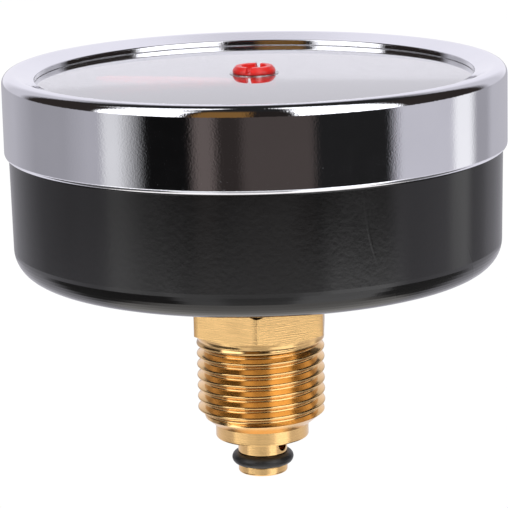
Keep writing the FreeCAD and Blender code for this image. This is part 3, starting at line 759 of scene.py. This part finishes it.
def thread_profile(pitch, outer):
    """(drop, radius) points over one pitch of a Whitworth-form thread, crest to crest."""
    rounding = 0.1373 * pitch
    depth = 0.6403 * pitch
    flank = 27.5
    angles = [math.radians(a) for a in (90, 75, 60, 44, flank)]
    crest = [(rounding * math.cos(a), outer - rounding + rounding * math.sin(a)) for a in angles]
    root = [(pitch / 2 - rounding * math.cos(a), outer - depth + rounding - rounding * math.sin(a))
            for a in reversed(angles)]
    half = crest + root
    mirrored = [(pitch - drop, radius) for drop, radius in reversed(half[1:-1])]
    return half + mirrored


def thread_mesh(pitch, outer, top, bottom, run_in, end_radius, chamfer_z):
    """Right-hand external thread between two heights, fading out at the top band."""
    profile = thread_profile(pitch, outer)
    crest_z = pitch * (math.ceil((top - THREAD_START_Z) / pitch) + 1) + THREAD_START_Z
    turns = math.ceil((crest_z - bottom) / pitch) + 1
    made = bmesh.new()
    rows = []
    slope = (outer - end_radius) / (chamfer_z - bottom)
    for step in range(turns * SEGMENTS + 1):
        angle = math.pi - 2 * math.pi * step / SEGMENTS
        row = []
        for drop, radius in profile:
            z = min(top, max(bottom, crest_z - pitch * step / SEGMENTS - drop))
            fade = min(1.0, (top - z) / run_in)
            radius = outer - (outer - radius) * fade * fade * (3 - 2 * fade)
            radius = min(radius, outer - max(0.0, chamfer_z - z) * slope)
            point = Vector((radius * math.cos(angle), radius * math.sin(angle), z))
            row.append(made.verts.new(point * MM))
        rows.append(row)
    for step, (row, following) in enumerate(zip(rows, rows[1:])):
        for i in range(len(profile) - 1):
            made.faces.new((row[i], row[i + 1], following[i + 1], following[i]))
        if step + SEGMENTS + 1 < len(rows):
            below, after = rows[step + SEGMENTS], rows[step + SEGMENTS + 1]
            made.faces.new((row[-1], below[0], after[0], following[-1]))
    return made


def hexagon_rings(across_flats, top, bottom, end_radius, start_angle):
    """Rings down a chamfered hexagon with slightly rounded corners."""
    flat = across_flats / 2
    corner = flat / math.cos(math.pi / 6)
    top_rings = [[], []]
    side_rings = [[], []]
    foot = []
    for i in range(SEGMENTS):
        angle = 2 * math.pi * i / SEGMENTS
        off = (math.degrees(angle) - start_angle + 30) % 60 - 30
        radius = min(flat / math.cos(math.radians(30 - abs(off))), corner - 0.12)
        upper = top - max(0.02, (radius - flat + 0.1) * math.tan(math.radians(30)))
        lower = bottom + max(0.01, (radius - end_radius) * math.tan(math.radians(17)))
        direction = Vector((math.cos(angle), math.sin(angle), 0))
        top_rings[0].append((direction * (flat - 0.25) + Vector((0, 0, top))) * MM)
        top_rings[1].append((direction * (flat - 0.1) + Vector((0, 0, top - 0.005))) * MM)
        side_rings[0].append((direction * radius + Vector((0, 0, upper))) * MM)
        side_rings[1].append((direction * radius + Vector((0, 0, lower))) * MM)
        foot.append((direction * end_radius + Vector((0, 0, bottom))) * MM)
    return top_rings + side_rings + [foot]


class GAUGE_OT_valve_body(bpy.types.Operator):
    """Brass valve body: chamfered hexagon, parallel pipe thread, lead-in and collar"""
    bl_idname = "gauge.valve_body"
    bl_label = "Valve body"

    def execute(self, context):
        sizes = context.scene.gauge_sizes
        top, bottom = high("valve_body"), low("valve_body")
        outer = THREAD_DIAMETER / 2
        band = -sizes.run_out / MM
        end_z, end_radius, chamfer_z = -15.4, 7.9, -13.3
        collar, guide = 7.65, 4.13
        rings = [circle(6.5, top - 0.3), circle(6.8, top)]
        rings += hexagon_rings(HEXAGON_SIZE, top, 0.0, outer, HEXAGON_ANGLE)
        rings += [circle(outer, -0.05), circle(outer, band)]
        upper = rings_mesh(rings, closed=False)
        outline = [Vector(point) for point in (
            (end_radius, end_z), (collar + 0.12, end_z), (collar, end_z - 0.1),
            (collar, bottom + 0.2), (collar - 0.06, bottom + 0.06), (collar - 0.2, bottom),
            (guide + 0.25, bottom), (guide, bottom + 0.25), (guide, -12.0), (5.6, -12.0),
            (5.6, -3.9), (6.5, -3.9), (6.5, top - 0.3))]
        rings = [circle(*point) for point in held(outline, closed=False)]
        lower = rings_mesh(rings, closed=False)
        thread = thread_mesh(sizes.thread_pitch / MM, outer, band, end_z,
                             sizes.run_in / MM, end_radius, chamfer_z)
        mesh = tidy(join(upper, thread, lower), 0.000002)
        made = piece("valve_housing", mesh, "turned_brass", "valve", "valve_brass", "valve_body")
        made.data.materials.append(FINISHES["milled_brass"])
        for face in made.data.polygons:
            if face.center.z > 0.2 * MM and Vector(face.center.xy).length > 10.3 * MM:
                face.material_index = 1
        inside, outside, head = 6.62, 9.0, top + 0.74
        washer = lathe([(inside, top, 0.1), (outside, top, 0.2), (outside, head, 0.2),
                        (inside, head, 0.1)])
        piece("sealing_washer", washer, "fibre", "valve", "seal_fibre", "stem_washer")
        return {"FINISHED"}


class GAUGE_OT_plunger(bpy.types.Operator):
    """Valve plunger with its cross hole, its O-ring and its return spring"""
    bl_idname = "gauge.plunger"
    bl_label = "Plunger, O-ring and spring"

    def execute(self, context):
        top, bottom = high("valve_plunger"), low("valve_plunger")
        section = (high("plunger_o_ring") - low("plunger_o_ring")) / 2
        ring_z = low("plunger_o_ring") + section
        groove, rod_radius, hole_z, hole_angle = 1.0, 4.05, -18.95, math.radians(-34)
        body = lathe([
            (0, top, 0), (5.4, top, 0.2), (5.4, top - 1.5, 0.2), (rod_radius, top - 1.5, 0),
            (rod_radius, ring_z + groove, 0.12), (3.1, ring_z + groove, 0.15),
            (3.1, ring_z - groove, 0.15), (rod_radius, ring_z - groove, 0.12),
            (rod_radius, bottom, 0.3), (0, bottom, 0),
        ], 96, steps=4)
        side = Vector((math.cos(hole_angle), math.sin(hole_angle), 0)) * 6
        level = Vector((0, 0, hole_z))
        cross = rod(1.1, level - side, level + side)
        bore = rod(1.6, (0, 0, hole_z), (0, 0, top + 1))
        piece("plunger_rod", carve(body, cross, bore), "turned_brass", "plunger", "valve_brass",
              "valve_plunger")
        rings = []
        count = 32
        spine = radius_of("plunger_o_ring") - section - 0.015
        for i in range(count):
            angle = 2 * math.pi * i / count
            flash = section + 0.012 * max(0.0, math.cos(angle)) ** 40
            rings.append(circle(spine + flash * math.cos(angle),
                                ring_z + section * math.sin(angle)))
        piece("o_ring", tidy(rings_mesh(rings)), "rubber", "plunger", "black_rubber",
              "plunger_o_ring")
        self.spring()
        return {"FINISHED"}

    def spring(self):
        """Closed-end wire spring that stretches between the housing and the plunger's head."""
        bottom, top = low("return_spring") + 0.35, high("return_spring") - 0.35
        turns, wire, radius = 5, 0.35, 4.8
        steps = turns * 48
        rings = []
        for i in range(steps + 1):
            angle = 2 * math.pi * turns * i / steps
            out = Vector((math.cos(angle), math.sin(angle), 0))
            centre = out * radius + Vector((0, 0, bottom + (top - bottom) * i / steps))
            around = [2 * math.pi * k / 12 for k in range(12)]
            rings.append([(centre + out * wire * math.cos(a)
                           + Vector((0, 0, wire * math.sin(a)))) * MM for a in around])
        mesh = rings_mesh(rings, closed=False)
        bmesh.ops.holes_fill(mesh, edges=[e for e in mesh.edges if e.is_boundary])
        made = piece("closing_spring", tidy(mesh), "steel", None, "spring_steel", "return_spring")
        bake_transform(made)


class GAUGE_OT_bourdon_tube(bpy.types.Operator):
    """Flattened bronze tube that bends between its socket and its end piece"""
    bl_idname = "gauge.bourdon_tube"
    bl_label = "Bourdon tube"

    def execute(self, context):
        low_z, high_z = low("bourdon_tube"), high("bourdon_tube")
        middle = (low_z + high_z) / 2
        radius, half = 26.5, 1.3
        straight = (high_z - low_z) / 2 - half
        section = []
        for side, lift in ((1, straight), (-1, -straight)):
            for k in range(9):
                angle = math.pi * k / 8 + (0 if side > 0 else math.pi)
                section.append((half * math.cos(angle), lift + half * math.sin(angle)))
        rings = []
        steps = 136
        for i in range(steps + 1):
            angle = math.radians(-17.0 + 272.0 * i / steps)
            rings.append([Vector(((radius + r) * math.cos(angle), (radius + r) * math.sin(angle),
                                  middle + z)) * MM for r, z in section])
        mesh = rings_mesh(rings, closed=False)
        bmesh.ops.holes_fill(mesh, edges=[e for e in mesh.edges if e.is_boundary])
        made = piece("pressure_tube", tidy(mesh), "bronze", None, "spring_bronze", "bourdon_tube")
        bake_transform(made)
        return {"FINISHED"}


# --- Stage ----------------------------------------------------------------------------------

LILAC = (1.0, 0.985, 1.07)
WHITE = (1.0, 1.0, 1.02)
BROWN = (1.0, 0.82, 0.77)
GOLD = (1.0, 0.52, 0.16)
BACKDROP = (1.02, 1.02, 1.02)
SHEET_LIGHT = (1.3, 1.26, 1.22)
SHEET_RADIUS, SHEET_FADE = 0.20, 0.28    # the sheet's light ends between these, in metres

# Cards that stand round the gauge, in order: first and last degree from the front (left is
# minus), brightness, tint. Between two cards the light changes evenly.
TABLE_EDGE = [
    (-180, -80, 0.80, LILAC), (-70, -45, 1.50, WHITE), (-33, -28, 1.00, WHITE),
    (-8, 8, 1.00, WHITE), (19, 28, 1.00, WHITE), (36, 62, 1.90, WHITE),
    (75, 180, 0.80, LILAC),
]
ROOM = [
    (-180, -140, 0.50, LILAC), (-118, -95, 0.35, LILAC), (-80, -74, 0.45, LILAC),
    (-70, -64, 0.76, WHITE), (-50, -30, 0.005, WHITE), (-26, -20, 0.13, BROWN),
    (-16, -8, 0.03, BROWN), (-4, 24, 0.07, BROWN), (28, 61, 0.015, WHITE),
    (68, 98, 0.60, LILAC), (102, 112, 1.00, WHITE), (118, 128, 0.37, LILAC),
    (134, 180, 0.52, LILAC),
]
SOFTBOXES = [
    (-180, -160, 0.92, LILAC), (-145, -130, 0.65, LILAC), (-120, -76, 0.03, BROWN),
    (-72, -36, 2.20, WHITE), (-31, -29, 0.02, BROWN), (-26, -5, 0.22, GOLD),
    (0, 16, 0.02, BROWN), (20, 64, 2.20, WHITE), (69, 120, 0.03, BROWN),
    (130, 145, 0.65, LILAC), (160, 180, 0.92, LILAC),
]
SOFTBOX_TOPS = [
    (-180, -92, 0.02, WHITE), (-88, -48, 1.60, WHITE), (-44, 22, 0.02, WHITE),
    (26, 72, 1.60, WHITE), (76, 180, 0.02, WHITE),
]
# Painted light: glow of the floor beyond the sheet, as cards in the same order: first and last
# degree from the front, brightness, tint.
FAR_FLOOR_GLOW = [
    (-180, -125, 0.85, LILAC), (-110, -45, 0.10, WHITE), (-38, -22, 0.90, WHITE),
    (-14, 16, 0.50, WHITE), (22, 62, 1.40, WHITE), (68, 110, 0.15, WHITE),
    (125, 180, 0.85, LILAC),
]


def card_ramp(tree, fac, cards):
    """Colour ramp once round the studio from a list of cards."""
    ramp = tree.nodes.new("ShaderNodeValToRGB")
    elements = ramp.color_ramp.elements
    stops = [(edge, level, tint) for first, last, level, tint in cards for edge in (first, last)]
    for i, (degrees, level, tint) in enumerate(stops):
        place = (degrees + 180) / 360
        element = elements[i] if i < 2 else elements.new(place)
        element.position = place
        element.color = (*(level * value for value in tint), 1.0)
    tree.links.new(fac, ramp.inputs["Fac"])
    return ramp.outputs["Color"]


def turn_fraction(tree, x, y):
    """Direction round the studio as 0 to 1, with the front at one half."""
    turn = math_node(tree, "ARCTAN2", x, math_node(tree, "MULTIPLY", y, -1))
    return math_node(tree, "ADD", math_node(tree, "DIVIDE", turn, 2 * math.pi), 0.5)


def smooth_step(tree, source, start, end):
    made = tree.nodes.new("ShaderNodeMapRange")
    made.interpolation_type = "SMOOTHSTEP"
    made.inputs["From Min"].default_value = start
    made.inputs["From Max"].default_value = end
    tree.links.new(source, made.inputs["Value"])
    return made.outputs["Result"]


def mix_light(tree, fac, first, second):
    made = tree.nodes.new("ShaderNodeMix")
    made.data_type = "RGBA"
    tree.links.new(fac, made.inputs["Factor"])
    for name, value in (("A", first), ("B", second)):
        socket = [s for s in made.inputs if s.name == name and s.type == "RGBA"][0]
        if isinstance(value, bpy.types.NodeSocket):
            tree.links.new(value, socket)
        else:
            socket.default_value = value
    return [s for s in made.outputs if s.type == "RGBA"][0]


def studio_world():
    """Dark studio with two tall softboxes in front, a pale wall behind and a lit table edge."""
    world = bpy.data.worlds.new("studio")
    bpy.context.scene.world = world
    world.use_nodes = True
    tree = world.node_tree
    tree.nodes.clear()
    place = tree.nodes.new("ShaderNodeTexCoord")
    parts = tree.nodes.new("ShaderNodeSeparateXYZ")
    tree.links.new(place.outputs["Generated"], parts.inputs[0])
    x, y, z = parts.outputs
    turn = turn_fraction(tree, x, y)
    rise = math_node(tree, "MULTIPLY", math_node(tree, "ARCSINE", z), 180 / math.pi)
    glow = card_ramp(tree, turn, TABLE_EDGE)
    for start, end, cards in ((-15, -14, ROOM), (-4, 0, SOFTBOXES), (38, 60, SOFTBOX_TOPS)):
        glow = mix_light(tree, smooth_step(tree, rise, start, end), glow,
                         card_ramp(tree, turn, cards))
    glow = mix_light(tree, smooth_step(tree, rise, 78, 85), glow, (0.02, 0.02, 0.02, 1.0))
    path = tree.nodes.new("ShaderNodeLightPath")
    glow = mix_light(tree, path.outputs["Is Camera Ray"], glow, (*BACKDROP, 1.0))
    background = tree.nodes.new("ShaderNodeBackground")
    output = tree.nodes.new("ShaderNodeOutputWorld")
    tree.links.new(glow, background.inputs["Color"])
    tree.links.new(background.outputs[0], output.inputs["Surface"])


def floor_material():
    """White floor that glows with painted light: camera rays see it evenly white, other rays see a
    bright glowing sheet under the gauge and dimmer glowing cards beyond it, which light the gauge
    and show in its reflections.
    """
    finish = Finish("glowing_studio_floor", (0.9, 0.9, 0.9), roughness=0.8)
    tree = finish.tree
    parts = finish.node("ShaderNodeSeparateXYZ")
    finish.link(finish.place, parts.inputs[0])
    x, y = parts.outputs[0], parts.outputs[1]
    # The floor glows rather than being lit: painted light, bright under the gauge and patterned
    # round it, unseen by the camera.
    beyond_sheet = smooth_step(tree, axis_distance(tree, x, y), SHEET_RADIUS, SHEET_FADE)
    glow = mix_light(tree, beyond_sheet, (*SHEET_LIGHT, 1.0),
                     card_ramp(tree, turn_fraction(tree, x, y), FAR_FLOOR_GLOW))
    seen = finish.node("ShaderNodeEmission")
    seen.inputs["Color"].default_value = (*BACKDROP, 1.0)
    lent = finish.node("ShaderNodeEmission")
    finish.link(glow, lent.inputs["Color"])
    path = finish.node("ShaderNodeLightPath")
    mix = finish.node("ShaderNodeMixShader")
    finish.link(path.outputs["Is Camera Ray"], mix.inputs["Fac"])
    finish.link(lent.outputs["Emission"], mix.inputs[1])
    finish.link(seen.outputs["Emission"], mix.inputs[2])
    finish.link(mix.outputs["Shader"], tree.nodes["Material Output"].inputs["Surface"])
    return finish.material


def overhead_lamp():
    """Wide soft lamp over the dial that leaves no image of itself in the chrome."""
    lamp = bpy.data.lights.new("overhead_lamp", "AREA")
    lamp.shape = "DISK"
    lamp.size = 0.5
    lamp.energy = 1.4
    holder = bpy.data.objects.new("overhead_lamp", lamp)
    holder.location = (0, 0, high("bezel") * MM + 0.6)
    holder.visible_glossy = False
    bpy.context.scene.collection.objects.link(holder)


class GAUGE_OT_stage(bpy.types.Operator):
    """Pale floor, soft studio light and the camera"""
    bl_idname = "gauge.stage"
    bl_label = "Stage"

    def execute(self, context):
        studio_world()
        overhead_lamp()
        FINISHES["floor"] = floor_material()
        depth, width = low("valve_plunger") - 276, 800
        under = depth - 4
        floor = lathe([(0, depth, 0), (width, depth, 0), (width, under, 0), (0, under, 0)], 96)
        piece("floor", floor, "floor", None, None)

        lens = bpy.data.cameras.new("camera")
        lens.lens = 184.5
        lens.sensor_width = 36
        camera = bpy.data.objects.new("camera", lens)
        context.scene.collection.objects.link(camera)
        pitch, pan, roll = 0.2222, 0.0017, 0.0235
        turn = (Matrix.Rotation(pan, 4, "Z") @ Matrix.Rotation(math.pi / 2 - pitch, 4, "X")
                @ Matrix.Rotation(-roll, 4, "Z"))
        place = Vector((0, -413.07, high("bezel") + 62.26)) * MM
        camera.matrix_world = Matrix.Translation(place) @ turn
        context.scene.camera = camera
        context.scene.view_settings.view_transform = "Standard"
        return {"FINISHED"}


class GAUGE_PT_panel(bpy.types.Panel):
    """Lists the gauge's sizes, colours and pieces"""
    bl_idname = "GAUGE_PT_panel"
    bl_label = "Pressure Gauge"
    bl_space_type = "VIEW_3D"
    bl_region_type = "UI"
    bl_category = "Gauge"

    def draw(self, context):
        layout = self.layout
        for group in (context.scene.gauge_sizes, context.scene.gauge_colours):
            box = layout.box()
            for name in group.__annotations__:
                box.prop(group, name)
        for operator in OPERATORS:
            layout.operator(operator.bl_idname)


OPERATORS = [
    GAUGE_OT_finishes, GAUGE_OT_bezel, GAUGE_OT_case, GAUGE_OT_window, GAUGE_OT_dial,
    GAUGE_OT_pointer, GAUGE_OT_setting_knob, GAUGE_OT_valve_body, GAUGE_OT_plunger,
    GAUGE_OT_bourdon_tube, GAUGE_OT_stage,
]
CLASSES = [GaugeSizes, GaugeColours] + OPERATORS + [GAUGE_PT_panel]


def register():
    for item in CLASSES:
        bpy.utils.register_class(item)
    bpy.types.Scene.gauge_sizes = bpy.props.PointerProperty(type=GaugeSizes)
    bpy.types.Scene.gauge_colours = bpy.props.PointerProperty(type=GaugeColours)


def unregister():
    del bpy.types.Scene.gauge_colours
    del bpy.types.Scene.gauge_sizes
    for item in reversed(CLASSES):
        bpy.utils.unregister_class(item)


def main():
    register()
    bpy.ops.gauge.finishes()
    bpy.ops.gauge.bezel()
    bpy.ops.gauge.case()
    bpy.ops.gauge.window()
    bpy.ops.gauge.dial()
    bpy.ops.gauge.pointer()
    bpy.ops.gauge.setting_knob()
    bpy.ops.gauge.valve_body()
    bpy.ops.gauge.plunger()
    bpy.ops.gauge.bourdon_tube()
    bpy.ops.gauge.stage()


if __name__ == "__main__":
    main()
